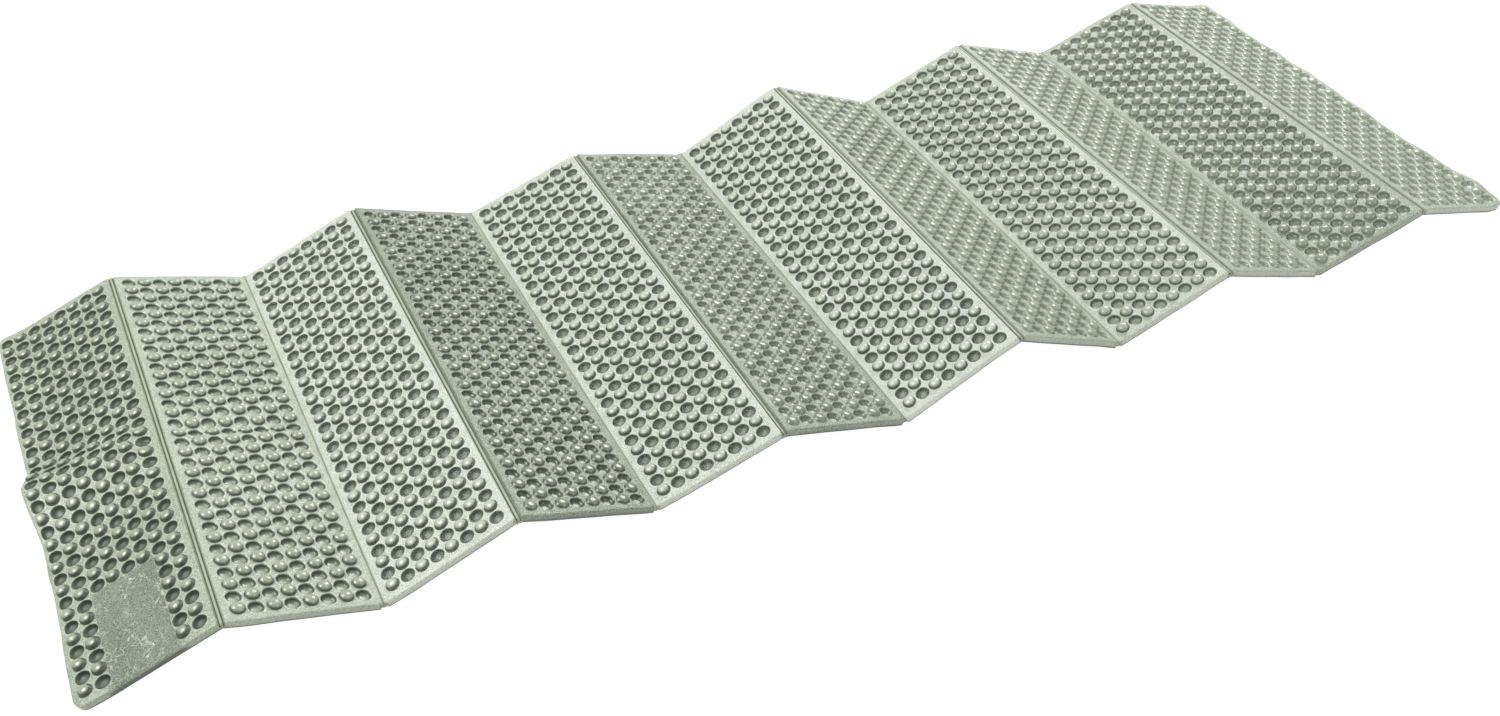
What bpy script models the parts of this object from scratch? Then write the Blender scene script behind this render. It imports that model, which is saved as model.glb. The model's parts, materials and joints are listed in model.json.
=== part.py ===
"""A folding foam sleeping pad, standing in the shallow zigzag that its folds keep when it is laid out.

Twelve closed-cell foam panels lie side by side along X. Each one carries a quilted relief of ridges and grooves,
and a thin reflective film underneath. Living hinges join the panels: valley hinges along the top face, and
mountain hinges along the underside, so the pad closes into a nested stack like an accordion.
"""

import math

import bmesh
import bpy
from mathutils import Matrix, Vector

# Driving dimensions, in metres.
PANEL_COUNT = 12
PANEL_LENGTH = 0.154  # from hinge to hinge, measured along the face
PAD_WIDTH = 0.594
FOAM_THICKNESS = 0.008
RELIEF = 0.005  # how far a ridge stands out, and how deep a groove goes
PITCH = 0.0169  # from one ridge to the next groove, both along and across the panel
COLUMNS = 8
ROWS = 34
FILM_THICKNESS = 0.0004
FILM_GAP = 0.0004  # foam to film, measured upright, which leaves 0.24 mm on the slopes
FOLD_GAP = 0.00035  # hinge line to the face that folds onto it
HINGE_GAP = 0.0015  # hinge line to the edge of each panel
WEB_RADIUS = 0.0012
TOP_CHAMFER = 0.0015
CORNER_RADIUS = 0.014  # the four outer corners of the pad
PEAK_HEIGHTS = (0.042, 0.045, 0.035, 0.055, 0.043, 0.034)  # each mountain hinge above the valley hinges

# A ridge is a long bar with sloping sides: narrow at its crest, wide where it meets the slab.
CREST_HALF = 0.0036
FOOT_HALF = 0.0074
SLOPE = (FOOT_HALF - CREST_HALF) / RELIEF
MARGIN = (PANEL_LENGTH - (COLUMNS - 1) * PITCH) / 2
ROW_REACH = (ROWS - 1) * PITCH / 2  # middle of the pad to its last row

# The first panel has a smooth patch on top, over its middle columns at the front edge.
PATCH_PANEL = 1
PATCH_COLUMNS = (3, 4, 5, 6)
PATCH_ROWS = 7

FOAM_TOP = FOAM_THICKNESS / 2
FILM_TOP = -FOAM_THICKNESS / 2 - FILM_GAP
FILM_BOTTOM = FILM_TOP - FILM_THICKNESS
VALLEY_PIVOT = FOAM_TOP + FOLD_GAP  # heights above a panel's middle plane
MOUNTAIN_PIVOT = FILM_BOTTOM - FOLD_GAP
ROOT_PANEL = 6


def material(name, color, roughness, metallic):
    """A plain Principled material."""
    made = bpy.data.materials.new(name)
    made.use_nodes = True
    shader = made.node_tree.nodes["Principled BSDF"]
    shader.inputs["Base Color"].default_value = (*color, 1.0)
    shader.inputs["Roughness"].default_value = roughness
    shader.inputs["Metallic"].default_value = metallic
    made.diffuse_color = (*color, 1.0)
    return made


def collection(name, shown):
    """A collection under the scene; one that isn't shown holds only cutters and other helpers."""
    made = bpy.data.collections.new(name)
    bpy.context.scene.collection.children.link(made)
    made.hide_render = not shown
    return made


def solid(name, mesh, home):
    """An object that holds this bmesh."""
    data = bpy.data.meshes.new(name)
    mesh.to_mesh(data)
    mesh.free()
    made = bpy.data.objects.new(name, data)
    home.objects.link(made)
    return made


def helper(name, mesh, home):
    """A solid that only cuts or joins others."""
    made = solid(name, mesh, home)
    made.hide_render = True
    made.display_type = "WIRE"
    return made


def column_x(column):
    """Where a column of the relief runs, from the panel's left hinge line. Columns count from 1."""
    return MARGIN + (column - 1) * PITCH


def add_bar(mesh, column, front, back, crest, foot):
    """One bar of a column, from the crest height to the foot height, with all four sides sloping.

    front and back are where the crest's ends would lie if the sides stood at the slab's face."""
    spread = SLOPE * abs(foot - crest)
    box = bmesh.ops.create_cube(mesh, size=1.0)["verts"]
    for corner in box:
        at_crest = corner.co.z > 0
        half_width = CREST_HALF + (0.0 if at_crest else spread)
        reach = CREST_HALF if at_crest else half_width
        end = back + reach if corner.co.y > 0 else front - reach
        side = math.copysign(half_width, corner.co.x)
        corner.co = Vector((column_x(column) + side, end, crest if at_crest else foot))
    if crest < foot:
        # Turning the cube upside down has turned its faces inwards.
        bmesh.ops.reverse_faces(mesh, faces=list({face for corner in box for face in corner.link_faces}))


def relief_bars(top, bottom, raised, panel):
    """The bars of a quilted sheet: those that stand out of it, or those that are cut into it.

    Odd columns stand out of the top face and are hollow underneath, and even columns are the reverse."""
    mesh = bmesh.new()
    inside = min(0.001, (top - bottom) / 2)
    outside = -0.001
    for column in range(1, COLUMNS + 1):
        odd = column % 2 == 1
        patched = panel == PATCH_PANEL and column in PATCH_COLUMNS
        top_front = -ROW_REACH + (PATCH_ROWS * PITCH if patched else 0.0)
        stands_on_top = odd
        if raised == stands_on_top:
            crest = top + (RELIEF if raised else -RELIEF)
            foot = top - (inside if raised else outside)
            add_bar(mesh, column, top_front, ROW_REACH, crest, foot)
        else:
            crest = bottom + (-RELIEF if raised else RELIEF)
            foot = bottom + (inside if raised else outside)
            add_bar(mesh, column, -ROW_REACH, ROW_REACH, crest, foot)
    return mesh


def slab(top, bottom, panel, chamfer):
    """The flat sheet of one panel, with the pad's outer corners rounded and its upper edges eased."""
    left = 0.0 if panel == 1 else HINGE_GAP
    right = PANEL_LENGTH - (0.0 if panel == PANEL_COUNT else HINGE_GAP)
    mesh = bmesh.new()
    bmesh.ops.create_cube(mesh, size=1.0)
    for corner in mesh.verts:
        x = right if corner.co.x > 0 else left
        z = top if corner.co.z > 0 else bottom
        corner.co = Vector((x, math.copysign(PAD_WIDTH / 2, corner.co.y), z))
    free_end = {1: left, PANEL_COUNT: right}.get(panel)
    if free_end is not None:
        upright = [
            edge
            for edge in mesh.edges
            if all(abs(end.co.x - free_end) < 1e-6 for end in edge.verts)
            and abs(edge.verts[0].co.z - edge.verts[1].co.z) > 1e-6
        ]
        bmesh.ops.bevel(
            mesh, geom=upright, offset=CORNER_RADIUS, segments=5, profile=0.5, affect="EDGES"
        )
    if chamfer:
        rim = [edge for edge in mesh.edges if all(abs(end.co.z - top) < 1e-6 for end in edge.verts)]
        bmesh.ops.bevel(mesh, geom=rim, offset=chamfer, segments=1, profile=0.5, affect="EDGES")
    return mesh


def quilted_sheet(name, top, bottom, panel, chamfer, home, helpers):
    """A slab with the relief pressed through it: what stands out of one face is hollow in the other."""
    made = solid(name, slab(top, bottom, panel, chamfer), home)
    steps = (("raised", "UNION", True), ("hollows", "DIFFERENCE", False))
    for label, operation, raised in steps:
        bars = helper(f"{name}_{label}", relief_bars(top, bottom, raised, panel), helpers)
        step = made.modifiers.new(label, "BOOLEAN")
        step.operation = operation
        step.solver = "EXACT"
        step.object = bars
    return made


def web_rod(name, home):
    """The compressed foam of one living hinge, as a slim rod along the hinge line."""
    mesh = bmesh.new()
    bmesh.ops.create_cone(
        mesh,
        cap_ends=True,
        segments=12,
        radius1=WEB_RADIUS,
        radius2=WEB_RADIUS,
        depth=PAD_WIDTH,
        matrix=Matrix.Rotation(math.radians(90), 4, "X"),
    )
    return solid(name, mesh, home)


def is_valley(hinge):
    """Hinge n lies between panels n and n + 1. The pad's two free ends count as valleys too."""
    return hinge % 2 == 0


def pivot_height(hinge):
    """The hinge line above a panel's middle plane."""
    return VALLEY_PIVOT if is_valley(hinge) else MOUNTAIN_PIVOT


def hinge_rise(hinge):
    """The hinge line above the valley hinges."""
    return 0.0 if is_valley(hinge) else PEAK_HEIGHTS[hinge // 2]


def panel_tilts():
    """How far each panel leans, in radians: positive where it climbs towards +X."""
    tilts = []
    for panel in range(1, PANEL_COUNT + 1):
        across = pivot_height(panel) - pivot_height(panel - 1)
        rise = hinge_rise(panel) - hinge_rise(panel - 1)
        span = math.hypot(PANEL_LENGTH, across)
        tilts.append(math.asin(rise / span) - math.atan2(across, PANEL_LENGTH))
    return tilts


def hinge_lines(tilts):
    """Where the thirteen hinge lines and free ends lie in X and Z, before the pad is centred."""
    lines = [Vector((0.0, 0.0, 0.0))]
    for panel, tilt in enumerate(tilts, start=1):
        across = pivot_height(panel) - pivot_height(panel - 1)
        step = Matrix.Rotation(-tilt, 3, "Y") @ Vector((PANEL_LENGTH, 0.0, across))
        lines.append(lines[-1] + step)
    return lines


def outline_points(panel):
    """The points of a panel's section that can reach the lowest or the outermost place."""
    left = 0.0 if panel == 1 else HINGE_GAP
    right = PANEL_LENGTH - (0.0 if panel == PANEL_COUNT else HINGE_GAP)
    points = [(x, z) for x in (left, right) for z in (FILM_BOTTOM, -FOAM_TOP, FOAM_TOP - TOP_CHAMFER)]
    for column in range(2, COLUMNS + 1, 2):
        for side in (-CREST_HALF, CREST_HALF):
            points.append((column_x(column) + side, FILM_BOTTOM - RELIEF))
    return points


def centred(lines, tilts):
    """The hinge lines moved so that the pad stands on Z = 0 with its middle on X = 0."""
    reach = []
    for panel, tilt in enumerate(tilts, start=1):
        turn = Matrix.Rotation(-tilt, 3, "Y")
        for x, z in outline_points(panel):
            reach.append(lines[panel - 1] + turn @ Vector((x, 0.0, z - pivot_height(panel - 1))))
    low, high = min(p.x for p in reach), max(p.x for p in reach)
    shift = Vector((-(low + high) / 2, 0.0, -min(p.z for p in reach)))
    return [line + shift for line in lines]


def own_hinge(panel):
    """The hinge that carries this panel, on the side of the root panel. The root uses its left one."""
    return panel if panel < ROOT_PANEL else panel - 1


def place(made, panel, lines, tilts):
    """Stands a piece, modelled flat from its panel's left hinge line, in the zigzag.

    Its origin moves to the hinge line that it turns about."""
    hinge = own_hinge(panel)
    x = 0.0 if hinge == panel - 1 else PANEL_LENGTH
    origin = Vector((x, 0.0, pivot_height(hinge)))
    turn = Matrix.Rotation(-tilts[panel - 1], 4, "Y")
    made.data.transform(Matrix.Translation(-origin))
    for step in made.modifiers:
        step.object.data.transform(Matrix.Translation(-origin))
        step.object.matrix_world = Matrix.Translation(lines[hinge]) @ turn
    made.matrix_world = Matrix.Translation(lines[hinge]) @ turn


def build():
    for old in list(bpy.data.objects):
        bpy.data.objects.remove(old)

    parts = collection("folding_foam_sleeping_pad", shown=True)
    helpers = collection("cutters", shown=False)
    foam = material("sage_foam", (0.36, 0.42, 0.31), 0.75, 0.0)
    web_foam = material("pressed_foam", (0.27, 0.33, 0.24), 0.7, 0.0)
    foil = material("silvery_film", (0.62, 0.62, 0.64), 0.35, 0.9)

    tilts = panel_tilts()
    lines = centred(hinge_lines(tilts), tilts)
    for panel in range(1, PANEL_COUNT + 1):
        pad = quilted_sheet(
            f"foam_panel_{panel:02}", FOAM_TOP, -FOAM_TOP, panel, TOP_CHAMFER, parts, helpers
        )
        film = quilted_sheet(
            f"reflective_film_{panel:02}", FILM_TOP, FILM_BOTTOM, None, 0.0, parts, helpers
        )
        pad.data.materials.append(foam)
        film.data.materials.append(foil)
        place(pad, panel, lines, tilts)
        place(film, panel, lines, tilts)
    for hinge in range(1, PANEL_COUNT):
        rod = web_rod(f"hinge_web_{hinge:02}", parts)
        rod.data.materials.append(web_foam)
        rod.matrix_world = Matrix.Translation(lines[hinge])


build()
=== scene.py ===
"""Looks of the folding foam sleeping pad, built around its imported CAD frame.

Every panel is one moulded foam piece with true domes and pits, and a crinkled reflective film under it.
Webs of pressed foam join the panels and bend at the folds. Everything is in metres, in the row frame.

A panel is first made flat, in its own coordinates: u along it from its left hinge line, y across the pad,
and w above its middle plane. It is then bent out of flat a little (soften) and stood in the zigzag (placed).
"""

import json
import math

import bpy
import numpy as np
from mathutils import Matrix, Vector

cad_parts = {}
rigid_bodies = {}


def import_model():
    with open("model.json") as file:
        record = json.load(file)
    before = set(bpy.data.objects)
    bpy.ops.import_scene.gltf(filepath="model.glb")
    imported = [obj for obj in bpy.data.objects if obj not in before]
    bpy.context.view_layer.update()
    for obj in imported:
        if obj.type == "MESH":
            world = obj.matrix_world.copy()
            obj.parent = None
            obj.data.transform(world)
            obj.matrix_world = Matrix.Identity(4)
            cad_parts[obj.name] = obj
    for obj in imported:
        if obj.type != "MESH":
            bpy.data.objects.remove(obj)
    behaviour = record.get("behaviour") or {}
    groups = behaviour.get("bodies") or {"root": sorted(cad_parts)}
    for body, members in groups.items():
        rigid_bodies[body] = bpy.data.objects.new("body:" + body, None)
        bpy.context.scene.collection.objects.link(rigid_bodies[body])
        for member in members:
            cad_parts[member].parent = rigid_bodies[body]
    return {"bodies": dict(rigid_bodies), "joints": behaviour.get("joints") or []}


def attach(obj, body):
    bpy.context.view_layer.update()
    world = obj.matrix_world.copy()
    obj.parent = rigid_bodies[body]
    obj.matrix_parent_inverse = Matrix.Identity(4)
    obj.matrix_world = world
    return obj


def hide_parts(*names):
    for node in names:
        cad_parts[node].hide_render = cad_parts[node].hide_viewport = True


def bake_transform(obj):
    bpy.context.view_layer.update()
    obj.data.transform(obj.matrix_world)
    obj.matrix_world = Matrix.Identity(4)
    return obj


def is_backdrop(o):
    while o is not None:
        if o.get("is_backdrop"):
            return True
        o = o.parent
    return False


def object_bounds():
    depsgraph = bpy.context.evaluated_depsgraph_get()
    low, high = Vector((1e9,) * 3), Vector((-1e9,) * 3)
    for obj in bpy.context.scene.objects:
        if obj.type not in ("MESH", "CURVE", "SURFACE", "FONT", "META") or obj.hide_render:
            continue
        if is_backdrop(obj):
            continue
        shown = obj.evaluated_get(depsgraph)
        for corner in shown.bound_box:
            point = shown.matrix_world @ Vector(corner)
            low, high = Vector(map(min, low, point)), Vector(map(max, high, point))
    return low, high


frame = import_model()
CAD_LOW, CAD_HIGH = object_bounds()

# ---- Sizes of the pad, as its CAD has them ----
PANEL_COUNT = 12
COLUMNS = 8  # of the relief, along a panel from fold to fold
ROWS = 34  # across the pad
FOAM_THICKNESS = 0.008
FILM_GAP = 0.0004
FILM_THICKNESS = 0.0004
FOLD_GAP = 0.00035  # hinge line to the face that folds onto it
HINGE_GAP = 0.0015  # hinge line to the panel's edge
CORNER_RADIUS = 0.014  # the pad's four outer corners
PATCH_COLUMNS = (2, 3, 4, 5)  # of the smooth patch on the first panel, counted from 0
PATCH_ROWS = 7

FOAM_TOP = FOAM_THICKNESS / 2
FOAM_BOTTOM = -FOAM_THICKNESS / 2
FILM_TOP = FOAM_BOTTOM - FILM_GAP
VALLEY_PIVOT = FOAM_TOP + FOLD_GAP
MOUNTAIN_PIVOT = FILM_TOP - FILM_THICKNESS - FOLD_GAP
ACROSS = VALLEY_PIVOT - MOUNTAIN_PIVOT

# ---- Shape of the moulded relief ----
PITCH_ALONG = 0.0175  # dome to pit, along the panel
PITCH_ACROSS = 0.0170  # dome to pit, across the pad
DOME_RADIUS = 0.0076
DOME_HEIGHT = 0.0052
WORN_DOME = 0.70  # height of a worn dome, as a share of a full one
PIT_RADIUS = 0.0081
PIT_DEPTH = 0.0050
HOLLOW_RADIUS = 0.0075  # under a dome
HOLLOW_HEIGHT = 0.0046
BUMP_RADIUS = 0.0068  # under a pit
BUMP_DEPTH = 0.0044
SIDE_POINTS = 4  # mesh points along one side of a relief cell
TOP_RINGS = (1.06, 1.0, 0.93, 0.80, 0.58, 0.28)  # as shares of a dome's or a pit's radius
UNDER_RINGS = (1.0, 0.88, 0.6)

# ---- Shape of the edges ----
MARGIN_INSET = 0.0045  # of the ring that keeps the margin round the relief flat
TOP_ROUNDING = 0.0022
UNDER_ROUNDING = 0.0009
FOLD_ROUNDING = 0.35  # share of an inset that is left along a fold
FOLD_EDGE = 0.0008  # hinge line to the foam's edge, as it bulges into the groove
FOLD_CORNER = 0.0012  # radius of a panel's corner at a fold
LEAST_CORNER = 0.0003
FILM_SKIN = 0.0001  # thickness that the film is drawn with, inside the CAD's
FILM_LIP = 0.0003  # how far the film turns up at its rim
FILM_FOLLOW = 0.985  # share of the foam's relief that the film follows

# ---- Painted light on the foam's skin: above 0 it is a painted highlight, below 0 it is painted shade ----
# Of a dome and a pit, by share of the radius: painted shade at a dome's foot and in a pit, a painted
# highlight round the pit's rim and faintly on a dome's top.
DOME_PAINTED_LIGHT = ((0.0, 0.45, 0.75, 0.90, 1.0, 1.06), (0.10, -0.02, -0.20, -0.8, -1.0, 0.2))
PIT_PAINTED_LIGHT = ((0.0, 0.5, 0.78, 0.93, 1.0, 1.06), (-0.34, -0.46, -0.80, -1.0, -0.2, 0.8))
# Of an edge, by height above the panel's middle plane: a painted highlight on the shoulder over painted shade
# at the foot.
EDGE_PAINTED_LIGHT = ((-0.0040, -0.0031, -0.0022, 0.0015, 0.0033, 0.0040), (-1.5, -1.3, -0.4, -0.15, 0.45, 0.0))
PATCH_PAINTED_SHADE = -0.58  # painted shade: the smooth patch on its slope and the margin in front of it are darker than the rest
PATCH_BLUR = 0.012

# ---- Grain of the foam's skin: 1 is open and rough, 0 is smooth ----
FLAT_GRAIN = 1.0
DOME_GRAIN = 0.2
PIT_GRAIN = 0.4
PATCH_GRAIN = 0.6
FOOT_GRAIN = 0.5  # of the lower half of an edge


def pivot_height(line):
    """Height of a hinge line above the middle plane of the panels it joins."""
    return VALLEY_PIVOT if line % 2 == 0 else MOUNTAIN_PIVOT


def hinge_lines():
    """(x, z) of the pad's left end, of its eleven hinge lines and of its right end."""
    found = {int(j["name"][-2:]): (j["pos_m"][0], j["pos_m"][2]) for j in frame["joints"]}
    ground = found[2][1]
    span = math.dist(found[2], found[3])

    def end(line, side):
        x, z = found[line]
        return x + side * math.sqrt(span**2 - (z - ground) ** 2), ground

    inner = [found[line] for line in range(1, PANEL_COUNT)]
    return [end(1, -1), *inner, end(PANEL_COUNT - 1, 1)]


LINES = hinge_lines()
SPAN = math.dist(LINES[2], LINES[3])
PANEL_LENGTH = math.sqrt(SPAN**2 - ACROSS**2)
HALF_WIDTH = (CAD_HIGH.y - CAD_LOW.y) / 2
MARGIN = (PANEL_LENGTH - (COLUMNS - 1) * PITCH_ALONG) / 2
ROW_REACH = (ROWS - 1) * PITCH_ACROSS / 2


def tilt(panel):
    """Slope of a panel's face, positive where it climbs towards +X."""
    (x0, z0), (x1, z1) = LINES[panel - 1], LINES[panel]
    lean = math.atan2(pivot_height(panel) - pivot_height(panel - 1), PANEL_LENGTH)
    return math.atan2(z1 - z0, x1 - x0) - lean


def placed(panel, points):
    """Points of a panel (along, across, above its middle plane) in the row frame."""
    x0, z0 = LINES[panel - 1]
    angle = tilt(panel)
    along = points[:, 0]
    above = points[:, 2] - pivot_height(panel - 1)
    x = x0 + along * math.cos(angle) - above * math.sin(angle)
    z = z0 + along * math.sin(angle) + above * math.cos(angle)
    return np.stack([x, points[:, 1], z], axis=1)


# ---- Smooth noise, worked out from sines so that it is the same every run ----
def waves(a, b, seed, reach):
    """A smooth uneven field of about -1 to 1 that changes over `reach` metres."""
    total = np.zeros_like(a)
    for k in range(5):
        turn = seed * 2.399 + k * 1.7
        stretch = (0.7 + 0.35 * k) * 2 * math.pi / reach
        phase = seed * 1.31 + k * 2.2
        total += np.sin(stretch * (a * math.cos(turn) + b * math.sin(turn)) + phase) / (1 + 0.5 * k)
    return total / 2.2


def fade(value, start, end):
    """0 at start, 1 at end, smooth between."""
    t = np.clip((value - start) / (end - start), 0, 1)
    return t * t * (3 - 2 * t)


# ---- The relief ----
def dome_height(share):
    """Height of a dome at a share of its radius. The other three shapes of the relief go the same way."""
    return DOME_HEIGHT * np.maximum(1 - share**3, 0) ** 0.6


def dome_share(panel):
    """The domes of every second panel are worn lower, apart from the one by the pad's left end."""
    return 1.0 if panel % 2 or panel == 2 else WORN_DOME


def pit_depth(share):
    return PIT_DEPTH * np.maximum(1 - share**5, 0) ** 0.75


def hollow_height(share):
    return HOLLOW_HEIGHT * np.maximum(1 - share**3.5, 0) ** 1.2


def bump_depth(share):
    return BUMP_DEPTH * np.maximum(1 - share**2.2, 0) ** 0.95


def is_dome(column, row):
    return (column + row) % 2 == 0


def is_blank(panel, column, row):
    return panel == 1 and column in PATCH_COLUMNS and row < PATCH_ROWS


def in_patch(panel, u, y):
    """Whether a point between the relief cells belongs to the smooth patch."""
    column = (u - MARGIN) / PITCH_ALONG
    row = (y + ROW_REACH) / PITCH_ACROSS
    across = PATCH_COLUMNS[0] - 0.6 < column < PATCH_COLUMNS[-1] + 0.6
    return panel == 1 and across and row < PATCH_ROWS - 0.4


def patch_shade_mask(u, y):
    """Where the patch's painted shade goes: 1 over the smooth patch and the margin in front of it, fading out
    over its surroundings.
    """
    left = MARGIN + (PATCH_COLUMNS[0] - 0.5) * PITCH_ALONG
    right = MARGIN + (PATCH_COLUMNS[-1] + 0.5) * PITCH_ALONG
    back = -ROW_REACH + (PATCH_ROWS - 0.5) * PITCH_ACROSS
    across = fade(u, left - PATCH_BLUR, left) * (1 - fade(u, right, right + PATCH_BLUR))
    return across * (1 - fade(y, back, back + PATCH_BLUR))


# ---- Mesh of a panel's face ----
def cell_steps():
    """Grid offsets of the points round a cell's square border, from its low corner."""
    run = range(SIDE_POINTS)
    steps = [(k, 0) for k in run]
    steps += [(SIDE_POINTS, k) for k in run]
    steps += [(SIDE_POINTS - k, SIDE_POINTS) for k in run]
    steps += [(0, SIDE_POINTS - k) for k in run]
    return np.array(steps).T


def cell_borders():
    """The points on the borders of all cells, a grid of their numbers, and the outer ring of numbers."""
    last_i, last_j = COLUMNS * SIDE_POINTS, ROWS * SIDE_POINTS
    grid_i, grid_j = np.meshgrid(np.arange(last_i + 1), np.arange(last_j + 1), indexing="ij")
    used = (grid_i % SIDE_POINTS == 0) | (grid_j % SIDE_POINTS == 0)
    number = np.full(grid_i.shape, -1)
    number[used] = np.arange(used.sum())
    u = MARGIN - PITCH_ALONG / 2 + grid_i[used] * PITCH_ALONG / SIDE_POINTS
    y = -ROW_REACH - PITCH_ACROSS / 2 + grid_j[used] * PITCH_ACROSS / SIDE_POINTS
    outer = [number[:last_i, 0], number[last_i, :last_j], number[last_i:0:-1, last_j], number[0, last_j:0:-1]]
    return np.stack([u, y], axis=1), number, np.concatenate(outer)


class Face:
    """One face of a panel, flat: a pattern of rings in every relief cell, inside the cells' square borders.

    It holds the points, their height above the flat, what the foam's material reads there (painted light,
    grain and patch), the faces, and the outer ring of point numbers."""

    def __init__(self, panel, rings, upper):
        self.panel = panel
        self.upper = upper
        column = np.repeat(np.arange(COLUMNS), ROWS)
        row = np.tile(np.arange(ROWS), COLUMNS)
        self.domed = is_dome(column, row)
        self.blank = np.array([is_blank(panel, c, r) and upper for c, r in zip(column, row)])
        centre = np.stack([MARGIN + column * PITCH_ALONG, -ROW_REACH + row * PITCH_ACROSS], axis=1)

        border, number, self.outer = cell_borders()
        plain = np.zeros(len(border))
        on_patch = np.array([in_patch(panel, u, y) and upper for u, y in border], float)
        self.layers = [(border, plain, plain, plain + FLAT_GRAIN, on_patch)]

        step_i, step_j = cell_steps()
        around = len(step_i)
        loops = [number[column[:, None] * SIDE_POINTS + step_i, row[:, None] * SIDE_POINTS + step_j]]
        angle = math.radians(225) + np.arange(around) * 2 * math.pi / around
        spoke = np.stack([np.cos(angle), np.sin(angle)], axis=1)
        if upper:
            radius = np.where(self.domed, DOME_RADIUS, PIT_RADIUS)
        else:
            radius = np.where(self.domed, HOLLOW_RADIUS, BUMP_RADIUS)
        start = len(border)
        for share in rings:
            self.add_ring(centre[:, None, :] + spoke[None, :, :] * (radius * share)[:, None, None], share)
            loops.append(start + np.arange(len(column) * around).reshape(-1, around))
            start += len(column) * around
        self.add_ring(centre[:, None, :], 0.0)
        middle = start + np.arange(len(column))

        quads = []
        for outer, inner in zip(loops[:-1], loops[1:]):
            quads.append(np.stack([outer, np.roll(outer, -1, 1), np.roll(inner, -1, 1), inner], axis=2))
        last = loops[-1]
        tips = np.stack([last, np.roll(last, -1, 1), np.repeat(middle[:, None], around, 1)], axis=2)
        self.quads = np.concatenate([q.reshape(-1, 4) for q in quads])
        self.tips = tips.reshape(-1, 3)
        kinds = (np.concatenate(kind) for kind in zip(*self.layers))
        self.points, self.height, self.wear, grain, self.patch = kinds
        self.grain = np.maximum(grain, PATCH_GRAIN * self.patch)

    def add_ring(self, points, share):
        """Keeps one ring of every cell: its points, and the values that all points of a ring share."""
        values = (self.lift(share), self.painted_lighting(share), self.grained(share), self.blank.astype(float))
        around = points.shape[1]
        self.layers.append((points.reshape(-1, 2), *(np.repeat(value, around) for value in values)))

    def lift(self, share):
        """Height of a ring above the flat of this face, for every cell."""
        if self.upper:
            found = np.where(self.domed, dome_share(self.panel) * dome_height(share), -pit_depth(share))
        else:
            found = np.where(self.domed, hollow_height(share), -bump_depth(share))
        return np.where(self.blank, 0.0, found)

    def painted_lighting(self, share):
        """Painted light of a ring, for every cell: painted shade below 0, a painted highlight above 0."""
        found = np.where(self.domed, np.interp(share, *DOME_PAINTED_LIGHT), np.interp(share, *PIT_PAINTED_LIGHT))
        return np.where(self.blank, 0.0, found)

    def grained(self, share):
        """Grain of a ring, for every cell."""
        found = np.where(self.domed, DOME_GRAIN, PIT_GRAIN)
        return found if share <= 1 else np.full(len(found), FLAT_GRAIN)


def outline(panel, inset):
    """Points of a panel's outline, moved in by inset, in the order of a face's outer ring."""
    left = inset if panel == 1 else FOLD_EDGE + inset * FOLD_ROUNDING
    right = inset if panel == PANEL_COUNT else FOLD_EDGE + inset * FOLD_ROUNDING
    low = np.array([left, -HALF_WIDTH + inset])
    high = np.array([PANEL_LENGTH - right, HALF_WIDTH - inset])
    along = np.linspace(0, 1, COLUMNS * SIDE_POINTS + 1)
    across = np.linspace(0, 1, ROWS * SIDE_POINTS + 1)
    share = [(s, 0.0) for s in along[:-1]]
    share += [(1.0, s) for s in across[:-1]]
    share += [(s, 1.0) for s in along[:0:-1]]
    share += [(0.0, s) for s in across[:0:-1]]
    points = low + np.array(share) * (high - low)
    for at_right in (False, True):
        at_end = panel == (PANEL_COUNT if at_right else 1)
        radius = max((CORNER_RADIUS if at_end else FOLD_CORNER) - inset, LEAST_CORNER)
        for at_back in (False, True):
            corner = np.array([high[0] if at_right else low[0], high[1] if at_back else low[1]])
            inward = np.array([-1.0 if at_right else 1.0, -1.0 if at_back else 1.0])
            round_corner(points, corner + inward * radius, inward)
    return points


def round_corner(points, centre, inward):
    """Moves the points of a square corner onto the arc round this centre."""
    offset = (points - centre) * -inward
    near = (offset[:, 0] > 0) & (offset[:, 1] > 0)
    spread = np.linalg.norm(offset[near], axis=1)
    longest = np.max(offset[near], axis=1)
    points[near] = centre + (points[near] - centre) * (longest / spread)[:, None]


# ---- How the real foam departs from flat panels ----
STILL = (0.002, 0.03)  # from a fold line: nothing departs before the first, and all of it after the second
WAVE_HEIGHT = 0.0004  # of the undulation of every panel
WAVE_REACH = 0.16
EDGE_WAVE = 0.0009  # how unevenly the front and back edges are cut
EDGE_REACH = 0.008  # how far in from the edge that is felt
HUMP_HEIGHT = 0.018  # of the crease that lifts the middle of the pad's left end
HUMP_FRONT = 0.100  # its reach from the ridge to the front
HUMP_BACK = 0.052  # and to the back
HUMP_MIDDLE = 0.004
HUMP_SLANT = 0.07  # how far its ridge runs askew, per metre along the panel
HUMP_FALL = 4.4  # share of its height that it loses per metre
LEFT_LIFT = 0.004
LEFT_WORN = 0.005  # how far the left end's edge is drawn in, away from its front corner
LEFT_WAVE = 0.0012
RIGHT_LIFT = 0.0045
RIGHT_WAVE = 0.0020
RIGHT_CURL = 0.0030  # of the bulge by the right end's front corner
# Dents across a panel: depth, middle, and reach to the front and to the back.
DENTS = {2: (0.0035, -0.004, 0.012, 0.035), 3: (0.0012, 0.006, 0.012, 0.03)}


def hump(u, y):
    """The first panel's crease: a ridge across its middle that fades out towards the first fold."""
    ridge = HUMP_MIDDLE - HUMP_SLANT * u
    away = np.where(y < ridge, (ridge - y) / HUMP_FRONT, (y - ridge) / HUMP_BACK)
    height = HUMP_HEIGHT * (1 - HUMP_FALL * np.clip(u, 0, None)) * (1 - fade(u, 0.120, 0.150))
    return height * (1 - fade(away, 0, 1)) ** 1.15


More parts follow.
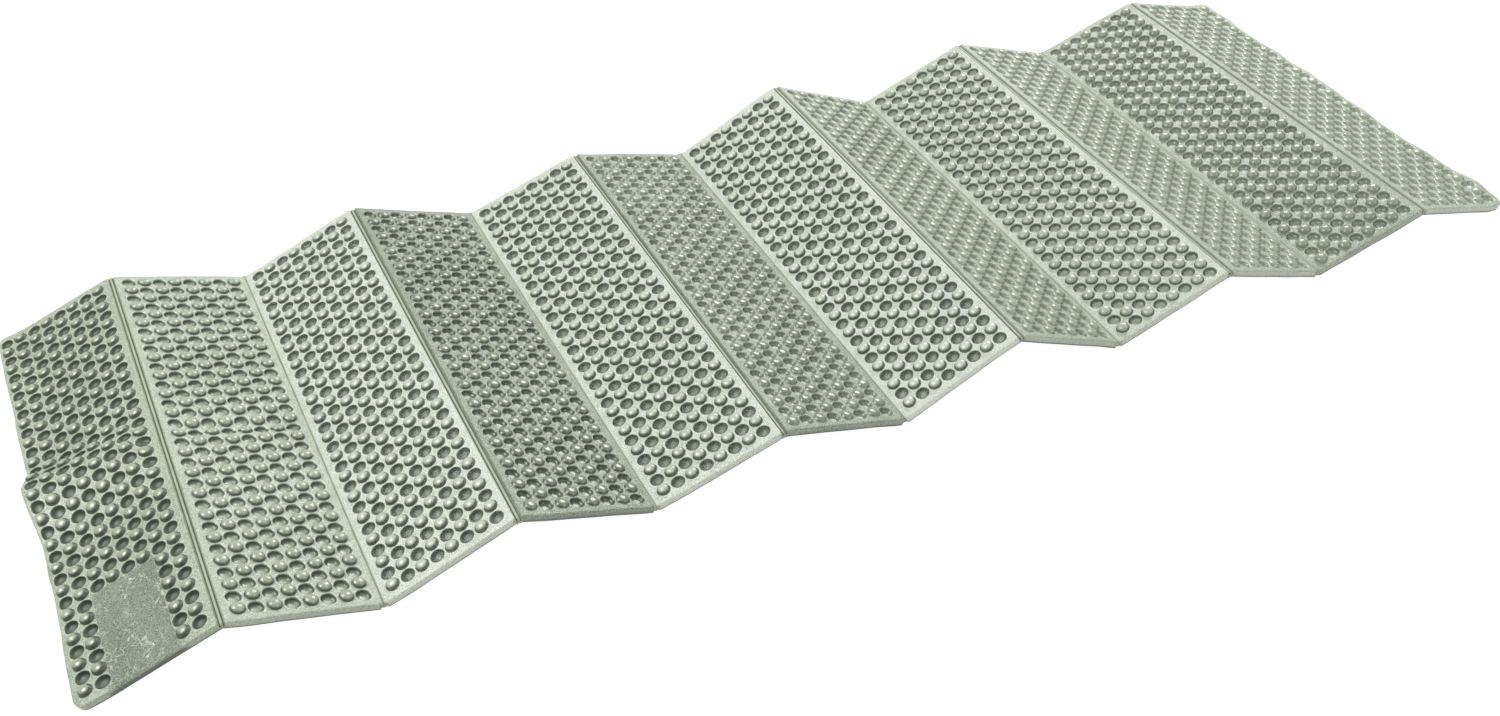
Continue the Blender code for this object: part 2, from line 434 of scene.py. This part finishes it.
def pinch(y, middle, front, back):
    """1 in the middle of a dent across a panel and 0 outside it, with its own reach to each side."""
    away = np.where(y < middle, (middle - y) / front, (y - middle) / back)
    return 1 - fade(away, 0, 1)


def end_waves(y, seed, fine_seed, fine_share):
    """Waves along one end of the pad, with finer ones on them."""
    return waves(y, 0 * y, seed, 0.12) + fine_share * waves(y, 0 * y, fine_seed, 0.04)


def soften(panel, points):
    """Undulation, curl and dents of a panel, on its flat coordinates. Every fold line stays where it is."""
    u, y, w = points[:, 0].copy(), points[:, 1].copy(), points[:, 2].copy()
    held = np.ones_like(u)
    if panel != 1:
        held *= fade(u, *STILL)
    if panel != PANEL_COUNT:
        held *= fade(PANEL_LENGTH - u, *STILL)

    # Neighbours undulate as mirror images, so that they still nest when they are folded together.
    mirrored = u if panel % 2 else PANEL_LENGTH - u
    side = 1 if panel % 2 else -1
    w += side * WAVE_HEIGHT * held * waves(mirrored, y, 3, WAVE_REACH)

    to_front = fade(-y, HALF_WIDTH - EDGE_REACH, HALF_WIDTH)
    to_back = fade(y, HALF_WIDTH - EDGE_REACH, HALF_WIDTH)
    run = u + panel * PANEL_LENGTH
    front_cut = 0.6 + waves(run, 0 * u, 5, 0.11)
    back_cut = 0.6 + waves(run, 0 * u, 8, 0.13)
    y += EDGE_WAVE * (to_front * front_cut - to_back * back_cut)

    if panel in DENTS:
        depth, middle, front, back = DENTS[panel]
        w -= depth * held * pinch(y, middle, front, back)
    if panel == 1:
        to_end = 1 - fade(u, 0.0, 0.013)
        worn_back = LEFT_WORN * fade(y, -HALF_WIDTH, -0.5 * HALF_WIDTH)
        u += to_end * (worn_back + LEFT_WAVE * end_waves(y, 2, 4, 0.4))
        w += LEFT_LIFT * (1 - fade(u, 0.0, 0.05)) + hump(u, y)
    if panel == PANEL_COUNT:
        to_end = fade(u, PANEL_LENGTH - 0.03, PANEL_LENGTH)
        u -= to_end * RIGHT_WAVE * (0.8 + end_waves(y, 6, 9, 0.5))
        w += to_end * (RIGHT_LIFT + RIGHT_WAVE * waves(y, 0 * y, 7, 0.10))
        w += to_end * RIGHT_CURL * pinch(y, -HALF_WIDTH + 0.050, 0.025, 0.040)
    return np.stack([u, y, w], axis=1)


# ---- Panels ----
def mesh_object(name, points, quads, tips, material):
    """A smooth-shaded mesh piece from arrays."""
    mesh = bpy.data.meshes.new(name)
    corners = np.concatenate([quads.ravel(), tips.ravel()]).astype(np.int32)
    starts = np.concatenate([np.arange(len(quads)) * 4, len(quads) * 4 + np.arange(len(tips)) * 3])
    mesh.vertices.add(len(points))
    mesh.vertices.foreach_set("co", points.astype(np.float32).ravel())
    mesh.loops.add(len(corners))
    mesh.loops.foreach_set("vertex_index", corners)
    mesh.polygons.add(len(starts))
    mesh.polygons.foreach_set("loop_start", starts.astype(np.int32))
    mesh.update(calc_edges=True)
    mesh.polygons.foreach_set("use_smooth", np.ones(len(starts), bool))
    mesh.materials.append(material)
    made = bpy.data.objects.new(name, mesh)
    bpy.context.scene.collection.objects.link(made)
    return made


def add_values(obj, name, values):
    """A number on every point, which the material reads."""
    layer = obj.data.attributes.new(name, "FLOAT", "POINT")
    layer.data.foreach_set("value", np.asarray(values, np.float32))


def bridge(outer, inner):
    """Quads between two rings of point numbers; the second lies outside or under the first."""
    return np.stack([inner, np.roll(inner, -1), np.roll(outer, -1), outer], axis=1)


def shell(panel, top, top_height, rim, bottom, bottom_height):
    """Flat points and faces of a closed shell: a face on top, rings round the edge, a face underneath."""
    points = [np.column_stack([top.points, top_height])]
    quads = [top.quads]
    start = len(top.points)
    ring = top.outer
    for inset, height in rim:
        line = outline(panel, inset)
        following = start + np.arange(len(line))
        points.append(np.column_stack([line, np.full(len(line), height)]))
        quads.append(bridge(ring, following))
        ring = following
        start += len(line)
    points.append(np.column_stack([bottom.points, bottom_height]))
    quads.append(bridge(ring, bottom.outer + start))
    quads.append(bottom.quads[:, ::-1] + start)
    tips = np.concatenate([top.tips, bottom.tips[:, ::-1] + start])
    return np.concatenate(points), np.concatenate(quads), tips


def foam_rim():
    """(inset, height) of the rings round a foam edge, from the top face to the underside."""
    rim = [(MARGIN_INSET, FOAM_TOP), (TOP_ROUNDING, FOAM_TOP)]
    for step in (30, 60, 90):
        turn = math.radians(step)
        rim.append((TOP_ROUNDING * (1 - math.sin(turn)), FOAM_TOP - TOP_ROUNDING * (1 - math.cos(turn))))
    return rim + [
        (0.0, 0.0),
        (0.0, FOAM_BOTTOM + 2 * UNDER_ROUNDING),
        (0.0, FOAM_BOTTOM + UNDER_ROUNDING),
        (0.3 * UNDER_ROUNDING, FOAM_BOTTOM + 0.3 * UNDER_ROUNDING),
        (UNDER_ROUNDING, FOAM_BOTTOM),
    ]


def foam_panel(panel, material):
    """One moulded foam panel: domes and pits above, the same relief below, and rounded edges."""
    upper = Face(panel, TOP_RINGS, True)
    lower = Face(panel, UNDER_RINGS, False)
    rim = foam_rim()
    top, bottom = FOAM_TOP + upper.height, FOAM_BOTTOM + lower.height
    points, quads, tips = shell(panel, upper, top, rim, lower, bottom)
    rim_height = np.repeat([height for _, height in rim], len(upper.outer))
    below = np.zeros(len(lower.points))
    # The relief's painted shade is made stronger or weaker panel by panel, for how the light falls on each;
    # painted highlights stay as they are.
    relief_wear = np.where(upper.wear < 0, upper.wear * PANEL_SHADE_STRENGTH[panel - 1], upper.wear)
    # An edge gets a painted highlight on its shoulder and painted shade at its foot.
    wear = np.concatenate([relief_wear, np.interp(rim_height, *EDGE_PAINTED_LIGHT), below])
    # Painted shade over the smooth patch and the margin in front of it.
    if panel == 1:
        wear += PATCH_PAINTED_SHADE * patch_shade_mask(points[:, 0], points[:, 1])
    rim_grain = np.where(rim_height > FOAM_TOP / 2, FLAT_GRAIN, FOOT_GRAIN)

    placed_points = placed(panel, soften(panel, points))
    made = mesh_object(f"foam_pad_{panel:02d}", placed_points, quads, tips, material)
    add_values(made, "wear", wear)
    add_values(made, "grain", np.concatenate([upper.grain, rim_grain, below]))
    add_values(made, "patch", np.concatenate([upper.patch, 0 * rim_height, below]))
    # Each panel's painted lightness, lighter or darker for how the light falls on it.
    add_values(made, "panel_lighting_tone", np.full(len(points), PANEL_LIGHTING_TONES[panel - 1]))
    return made


def film_rim():
    """(inset, height) of the rings round a film, from its top over the turned-up rim to its underside."""
    under = FILM_TOP - FILM_SKIN
    lip = FILM_TOP + FILM_LIP
    return [
        (MARGIN_INSET, FILM_TOP),
        (0.0012, FILM_TOP),
        (0.0006, lip),
        (0.0003, lip),
        (0.0011, under),
        (MARGIN_INSET, under),
    ]


def film_panel(panel, material):
    """The reflective film: a thin closed skin that follows the relief under the foam."""
    face = Face(panel, UNDER_RINGS, False)
    under = FILM_TOP - FILM_SKIN
    follow = face.height * FILM_FOLLOW
    points, quads, tips = shell(panel, face, FILM_TOP + follow, film_rim(), face, under + follow)
    placed_points = placed(panel, soften(panel, points))
    made = mesh_object(f"film_{panel:02d}", placed_points, quads, tips, material)
    add_values(made, "sunk", np.clip((points[:, 2] - FILM_TOP) / HOLLOW_HEIGHT, 0, 1))
    return made


# ---- Materials ----
FOAM_DEEP = (0.055, 0.074, 0.042)
FOAM_MID = (0.290, 0.340, 0.245)
FOAM_PALE = (0.560, 0.605, 0.510)
FOAM_GLINT = (0.74, 0.77, 0.72)
PRESSED_DARK = (0.205, 0.250, 0.165)
PRESSED_LIGHT = (0.270, 0.320, 0.220)
PRESSED_PALE = (0.50, 0.55, 0.45)
FILM_DULL = (0.42, 0.43, 0.44)
FILM_BRIGHT = (0.56, 0.57, 0.58)
FILM_HOLLOW_SHADE = (0.20, 0.21, 0.22)
# Of each panel from the left: how light its foam is painted, lighter or darker for how the light falls on
# that panel, and how strongly its relief's painted shade shows.
PANEL_LIGHTING_TONES = (0.49, 0.54, 0.71, 0.29, 0.73, 0.31, 0.81, 0.53, 0.66, 0.57, 0.41, 0.58)
PANEL_SHADE_STRENGTH = (2.05, 0.95, 2.20, 0.55, 2.20, 0.20, 2.20, 0.50, 1.10, 0.45, 0.45, 0.45)


def shader_graph(name):
    """A new material, its node tree and its Principled shader."""
    made = bpy.data.materials.new(name)
    made.use_nodes = True
    return made, made.node_tree, made.node_tree.nodes["Principled BSDF"]


def add_node(tree, kind, **values):
    node = tree.nodes.new(kind)
    for key, value in values.items():
        setattr(node, key, value)
    return node


def feed(tree, socket, value):
    """Gives a socket its value: a number, a plain colour, or another socket."""
    if isinstance(value, (int, float)):
        socket.default_value = value
    elif isinstance(value, tuple):
        socket.default_value = (*value, 1.0)
    else:
        tree.links.new(value, socket)


def noise_node(tree, scale, detail=2.0, roughness=0.5):
    """A noise pattern over the object's own coordinates, in waves per metre."""
    node = add_node(tree, "ShaderNodeTexNoise")
    node.inputs["Scale"].default_value = scale
    node.inputs["Detail"].default_value = detail
    node.inputs["Roughness"].default_value = roughness
    tree.links.new(add_node(tree, "ShaderNodeTexCoord").outputs["Object"], node.inputs["Vector"])
    return node


def noise(tree, scale, detail=2.0, roughness=0.5):
    return noise_node(tree, scale, detail, roughness).outputs["Fac"]


def ramp(tree, value, low, high, low_out=0.0, high_out=1.0):
    """Maps value from low..high to low_out..high_out, clamped and smooth."""
    node = add_node(tree, "ShaderNodeMapRange", interpolation_type="SMOOTHSTEP")
    node.inputs["From Min"].default_value = low
    node.inputs["From Max"].default_value = high
    node.inputs["To Min"].default_value = low_out
    node.inputs["To Max"].default_value = high_out
    tree.links.new(value, node.inputs["Value"])
    return node.outputs["Result"]


def mix(tree, share, first, second, blend="MIX"):
    """Blends two colours; each is a socket or a plain colour."""
    node = add_node(tree, "ShaderNodeMix", data_type="RGBA", blend_type=blend)
    sockets = node.inputs["Factor"], node.inputs[6], node.inputs[7]
    for socket, value in zip(sockets, (share, first, second)):
        feed(tree, socket, value)
    return node.outputs[2]


def math_node(tree, operation, first, second):
    node = add_node(tree, "ShaderNodeMath", operation=operation)
    for socket, value in zip(node.inputs, (first, second)):
        feed(tree, socket, value)
    return node.outputs[0]


def point_value(tree, name):
    return add_node(tree, "ShaderNodeAttribute", attribute_name=name).outputs["Fac"]


def bump(tree, height, strength, distance, normal=None):
    node = add_node(tree, "ShaderNodeBump")
    node.inputs["Strength"].default_value = strength
    node.inputs["Distance"].default_value = distance
    tree.links.new(height, node.inputs["Height"])
    if normal is not None:
        tree.links.new(normal, node.inputs["Normal"])
    return node.outputs["Normal"]


def wrinkles(tree, where):
    """Fine short creases of pressed foam, only where the given value is 1."""
    place = add_node(tree, "ShaderNodeTexCoord").outputs["Object"]
    wobble = noise_node(tree, 70)
    bent = mix(tree, 0.02, place, wobble.outputs["Color"], "LINEAR_LIGHT")
    cracks = add_node(tree, "ShaderNodeTexVoronoi", feature="DISTANCE_TO_EDGE")
    cracks.inputs["Scale"].default_value = 55
    tree.links.new(bent, cracks.inputs["Vector"])
    lines = ramp(tree, cracks.outputs["Distance"], 0.0, 0.07, 1.0, 0.0)
    broken = ramp(tree, noise(tree, 45, 2), 0.48, 0.60)
    return math_node(tree, "MULTIPLY", math_node(tree, "MULTIPLY", lines, broken), where)


def foam_material():
    """Closed-cell foam: sage green with grain, painted glints, painted shade and painted highlights, each
    panel painted lighter or darker for the light on it.
    """
    made, tree, shader = shader_graph("sage_foam")
    wear = point_value(tree, "wear")
    grain = point_value(tree, "grain")
    lighting_tone = point_value(tree, "panel_lighting_tone")
    creases = wrinkles(tree, point_value(tree, "patch"))

    # How light the foam is: its panel's painted lightness, and everything that lightens or darkens it,
    # painted shade and painted highlights among them.
    patches = ramp(tree, noise(tree, 14, 3), 0.3, 0.7, -0.04, 0.04)
    speckle = ramp(tree, noise(tree, 800, 2), 0.35, 0.65, -0.22, 0.22)
    speckle = math_node(tree, "MULTIPLY", speckle, grain)
    painted_shade = ramp(tree, wear, -1.5, 0.0, -0.80, 0.0)
    painted_lighting = ramp(tree, wear, 0.0, 1.0, 0.0, 0.22)
    pale_creases = math_node(tree, "MULTIPLY", creases, 0.6)
    lightness = lighting_tone
    for part in (patches, speckle, painted_shade, painted_lighting, pale_creases):
        lightness = math_node(tree, "ADD", lightness, part)
    colour = mix(tree, ramp(tree, lightness, 0.0, 0.5), FOAM_DEEP, FOAM_MID)
    colour = mix(tree, ramp(tree, lightness, 0.45, 0.95), colour, FOAM_PALE)

    # Painted glints: pale flecks on the grainy skin, only on the panels painted lighter.
    painted_glints = ramp(tree, noise(tree, 1000, 1), 0.50, 0.62, 0.0, 0.75)
    painted_glints = math_node(tree, "MULTIPLY", painted_glints, grain)
    painted_glints = math_node(tree, "MULTIPLY", painted_glints, ramp(tree, lighting_tone, 0.45, 0.75))
    colour = mix(tree, painted_glints, colour, FOAM_GLINT)
    tree.links.new(colour, shader.inputs["Base Color"])

    rough = ramp(tree, grain, 0.2, 1.0, 0.22, 0.42)
    rough = math_node(tree, "ADD", rough, ramp(tree, wear, -1.0, -0.2, 0.25, 0.0))
    rough = math_node(tree, "ADD", rough, ramp(tree, noise(tree, 300, 2), 0.3, 0.7, -0.05, 0.08))
    tree.links.new(rough, shader.inputs["Roughness"])
    shader.inputs["Specular IOR Level"].default_value = 0.7

    pores = math_node(tree, "MULTIPLY", noise(tree, 900, 2, 0.6), grain)
    fine = bump(tree, pores, 0.6, 0.0006)
    coarse = bump(tree, noise(tree, 160, 3, 0.6), 0.2, 0.0008, fine)
    wrinkled = bump(tree, creases, 0.8, 0.0010, coarse)
    tree.links.new(wrinkled, shader.inputs["Normal"])
    return made


def pressed_material():
    """Foam pressed thin at the folds: smoother, paler across its top, with painted shade in its score lines
    and crease.
    """
    made, tree, shader = shader_graph("pressed_foam")
    patches = ramp(tree, noise(tree, 30, 3), 0.3, 0.7)
    colour = mix(tree, patches, PRESSED_DARK, PRESSED_LIGHT)
    wear = point_value(tree, "wear")
    colour = mix(tree, ramp(tree, wear, 0.0, 0.7, 0.0, 0.9), colour, PRESSED_PALE)
    # Painted shade in the score lines and the crease.
    colour = mix(tree, ramp(tree, wear, -0.9, 0.2, 1.0, 0.0), colour, FOAM_DEEP)
    tree.links.new(colour, shader.inputs["Base Color"])
    rough = ramp(tree, noise(tree, 500, 2), 0.3, 0.7, 0.45, 0.6)
    tree.links.new(rough, shader.inputs["Roughness"])
    tree.links.new(bump(tree, noise(tree, 900, 2), 0.3, 0.0003), shader.inputs["Normal"])
    return made


def film_material():
    """Thin aluminised film: bright, finely crinkled, duller in patches, and darkened up in the hollows with
    painted shade.
    """
    made, tree, shader = shader_graph("silver_film")
    patches = ramp(tree, noise(tree, 25, 3), 0.3, 0.7)
    colour = mix(tree, patches, FILM_DULL, FILM_BRIGHT)
    # Painted shade up in the hollows under the domes.
    sunk = ramp(tree, point_value(tree, "sunk"), 0.0, 1.0, 0.0, 0.8)
    colour = mix(tree, sunk, colour, FILM_HOLLOW_SHADE)
    tree.links.new(colour, shader.inputs["Base Color"])
    shader.inputs["Metallic"].default_value = 0.9
    rough = ramp(tree, noise(tree, 90, 3), 0.3, 0.7, 0.34, 0.52)
    tree.links.new(rough, shader.inputs["Roughness"])
    crinkle = bump(tree, noise(tree, 180, 3, 0.6), 0.22, 0.0008)
    tree.links.new(crinkle, shader.inputs["Normal"])
    return made


# ---- Fold webs ----
# Heights are above the hinge line.
WEB_LAP = 0.0012  # how far a web reaches into the panels on both sides
WEB_STEPS = 41
WEB_ROWS = 120
WEB_END = 0.0006  # from a web's end to the pad's edge
MOUNTAIN_TOP = 0.0062
MOUNTAIN_UNDER = 0.0008
SCORES = (-0.0007, 0.0007)  # of a mountain's web, from the hinge line
SCORE_WIDTH = 0.00024
SCORE_DEPTH = 0.0010
VALLEY_TOP = -FOLD_GAP - 0.0001
VALLEY_UNDER = -0.0052
CREASE_WIDTH = 0.0005
CREASE_DEPTH = 0.0004


def web_section(line):
    """Outline of a web across its fold: (x from the hinge line, height, painted light) over the top, then
    under.
    """
    share = np.linspace(-1, 1, WEB_STEPS)
    steps = (HINGE_GAP + WEB_LAP) * np.sign(share) * np.abs(share) ** 1.6
    if line % 2 == 0:
        # A valley's crease gets painted shade.
        crease = np.exp(-((steps / CREASE_WIDTH) ** 2))
        top = VALLEY_TOP - CREASE_DEPTH * crease
        wear = 0.4 - 0.6 * crease
        under = VALLEY_UNDER
    else:
        # A mountain's score lines get painted shade.
        scored = sum(np.exp(-(((steps - at) / SCORE_WIDTH) ** 2)) for at in SCORES)
        top = MOUNTAIN_TOP - SCORE_DEPTH * scored
        wear = 0.3 - 1.3 * scored
        under = MOUNTAIN_UNDER
    upper = list(zip(steps, top, wear))
    lower = [(x, under, 0.0) for x in steps[::-1]]
    return upper, lower


def web_points(line, section, y):
    """Section points of a web at y in the row frame, each side following its own panel's slope."""
    x0, z0 = LINES[line]
    left, right = tilt(line), tilt(line + 1)
    turn = right - left
    found = []
    for x, height, _ in section:
        angle = left + turn * fade(x, -HINGE_GAP, HINGE_GAP)
        across = x * math.cos(angle) - height * math.sin(angle)
        up = x * math.sin(angle) + height * math.cos(angle)
        found.append((x0 + across, y, z0 + up))
    return found


def fold_web(line, material):
    """The strip of pressed foam that joins two panels and bends at their fold."""
    upper, lower = web_section(line)
    section = upper + lower
    rows = np.linspace(-HALF_WIDTH + WEB_END, HALF_WIDTH - WEB_END, WEB_ROWS)
    points = np.array([p for y in rows for p in web_points(line, section, y)])
    around = len(section)
    base = np.arange(len(rows) * around).reshape(len(rows), around)
    near, far = base[:-1], base[1:]
    sides = np.stack([near, far, np.roll(far, -1, 1), np.roll(near, -1, 1)], axis=2).reshape(-1, 4)
    caps = []
    for ring, flip in ((base[0], False), (base[-1], True)):
        for k in range(len(upper) - 1):
            cap = [ring[k], ring[k + 1], ring[around - 2 - k], ring[around - 1 - k]]
            caps.append(cap[::-1] if flip else cap)
    quads = np.concatenate([sides, np.array(caps)])
    made = mesh_object(f"fold_web_{line:02d}", points, quads, np.zeros((0, 3), int), material)
    add_values(made, "wear", np.tile([wear for _, _, wear in section], len(rows)))
    return made


# ---- Stage ----
FLOOR_HALF = 9.0
# Where a panel's section can touch the floor: (from its end, above or below its middle plane).
TOUCHES = ((0.0, 0.0048), (0.015, 0.0096))


def touch_points():
    """Flat points of a panel that can touch the floor, above and below, by both its ends."""
    found = []
    for from_end, height in TOUCHES:
        for u in (from_end, PANEL_LENGTH - from_end):
            found += [(u, 0, -height), (u, 0, height)]
    return np.array(found)


def floor_material():
    """A pale matt table that glows a little, so shadows stay light, and that is clear from below."""
    made, tree, shader = shader_graph("pale_floor")
    shader.inputs["Base Color"].default_value = (0.30, 0.30, 0.30, 1)
    shader.inputs["Roughness"].default_value = 0.9
    shader.inputs["Emission Color"].default_value = (1.0, 1.0, 1.0, 1)
    shader.inputs["Emission Strength"].default_value = 0.90
    clear = add_node(tree, "ShaderNodeBsdfTransparent")
    chosen = add_node(tree, "ShaderNodeMixShader")
    tree.links.new(add_node(tree, "ShaderNodeNewGeometry").outputs["Backfacing"], chosen.inputs["Fac"])
    tree.links.new(shader.outputs["BSDF"], chosen.inputs[1])
    tree.links.new(clear.outputs["BSDF"], chosen.inputs[2])
    tree.links.new(chosen.outputs["Shader"], tree.nodes["Material Output"].inputs["Surface"])
    return made


def add_floor(height):
    """The floor. Floor constraints hold it at or under the lowest panel when the pad moves."""
    mesh = bpy.data.meshes.new("floor")
    corners = [(x * FLOOR_HALF, y * FLOOR_HALF, 0) for x, y in ((-1, -1), (1, -1), (1, 1), (-1, 1))]
    mesh.from_pydata(corners, [], [(0, 1, 2, 3)])
    mesh.materials.append(floor_material())
    made = bpy.data.objects.new("floor", mesh)
    made.location.z = height
    bpy.context.scene.collection.objects.link(made)
    made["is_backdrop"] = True
    for panel in range(1, PANEL_COUNT + 1):
        for place in placed(panel, touch_points()):
            feeler = bpy.data.objects.new("floor_feeler", None)
            feeler.parent = frame["bodies"][f"panel_{panel:02d}"]
            feeler.location = place
            feeler.hide_render = True
            bpy.context.scene.collection.objects.link(feeler)
            limit = made.constraints.new("FLOOR")
            limit.target = feeler
            limit.floor_location = "FLOOR_NEGATIVE_Z"


# Name, place, what it points at, size in metres, watts.
STUDIO_LIGHTS = (
    ("left", (-1.5, 0.4, 2.0), (-0.3, 0, 0), (1.2, 1.2), 56),
    ("back", (1.8, 1.9, 1.9), (0.2, 0, 0), (1.4, 1.2), 70),
    ("front", (1.9, -2.0, 2.2), (0.8, 0, 0), (1.6, 1.4), 34),
)


def add_light(name, place, target, size, watts):
    """A soft box."""
    light = bpy.data.lights.new(name, "AREA")
    light.shape = "RECTANGLE"
    light.size, light.size_y = size
    light.energy = watts
    made = bpy.data.objects.new(name, light)
    made.location = place
    made.rotation_euler = (Vector(target) - Vector(place)).to_track_quat("-Z", "Y").to_euler()
    bpy.context.scene.collection.objects.link(made)


def add_world():
    """A room that is white round the horizon, and dimmer overhead so the relief keeps its shading."""
    world = bpy.data.worlds.new("studio")
    bpy.context.scene.world = world
    world.use_nodes = True
    tree = world.node_tree
    direction = add_node(tree, "ShaderNodeTexCoord").outputs["Generated"]
    parts = add_node(tree, "ShaderNodeSeparateXYZ")
    tree.links.new(direction, parts.inputs["Vector"])
    strength = ramp(tree, parts.outputs["Z"], 0.05, 0.35, 0.97, 0.16)
    tree.links.new(strength, tree.nodes["Background"].inputs["Strength"])
    tree.nodes["Background"].inputs["Color"].default_value = (1.0, 1.0, 1.0, 1)


# ---- Camera, where the photograph was taken from: solved from the pad's corners in it ----
CAMERA_AZIMUTH = math.radians(24.62)
CAMERA_ELEVATION = math.radians(44.92)
CAMERA_ROLL = math.radians(-1.46)
CAMERA_DISTANCE = 1.60425
CAMERA_TARGET = Vector((-0.22429, -0.27745, LINES[2][1]))
CAMERA_LENS = 36.08952  # millimetres, on a sensor 36 mm wide
CAMERA_SHIFT = (0.0255267, 0.0770133)  # how far the photograph was cropped off its axis, in frame widths


def add_camera():
    """The photograph's camera. It looks down by its elevation, and its azimuth is from +Y towards +X."""
    data = bpy.data.cameras.new("camera")
    data.sensor_width = 36.0
    data.lens = CAMERA_LENS
    data.shift_x, data.shift_y = CAMERA_SHIFT
    data.clip_start, data.clip_end = 0.05, 60
    cos_e, sin_e = math.cos(CAMERA_ELEVATION), math.sin(CAMERA_ELEVATION)
    forward = Vector((math.sin(CAMERA_AZIMUTH) * cos_e, math.cos(CAMERA_AZIMUTH) * cos_e, -sin_e))
    level = Vector((math.cos(CAMERA_AZIMUTH), -math.sin(CAMERA_AZIMUTH), 0))
    upright = level.cross(forward)
    right = level * math.cos(CAMERA_ROLL) + upright * math.sin(CAMERA_ROLL)
    up = upright * math.cos(CAMERA_ROLL) - level * math.sin(CAMERA_ROLL)
    made = bpy.data.objects.new("camera", data)
    place = CAMERA_TARGET - forward * CAMERA_DISTANCE
    turned = Matrix((right, up, -forward)).transposed().to_4x4()
    made.matrix_world = Matrix.Translation(place) @ turned
    bpy.context.scene.collection.objects.link(made)
    bpy.context.scene.camera = made


def build():
    """Makes every piece, ties each panel's foam and film to its body and hides the CAD part each piece
    replaces, then sets up the stage.
    """
    foam = foam_material()
    pressed = pressed_material()
    film = film_material()
    for panel in range(1, PANEL_COUNT + 1):
        body = f"panel_{panel:02d}"
        pad = foam_panel(panel, foam)
        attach(pad, body)
        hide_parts(f"foam_{body}")
        skin = film_panel(panel, film)
        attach(skin, body)
        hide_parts(f"reflective_film_{panel:02d}")
    for line in range(1, PANEL_COUNT):
        web = fold_web(line, pressed)
        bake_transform(web)
        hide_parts(f"hinge_web_{line:02d}")
    add_floor(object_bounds()[0].z)
    add_world()
    for light in STUDIO_LIGHTS:
        add_light(*light)
    add_camera()
    bpy.context.scene.view_settings.view_transform = "Standard"


build()
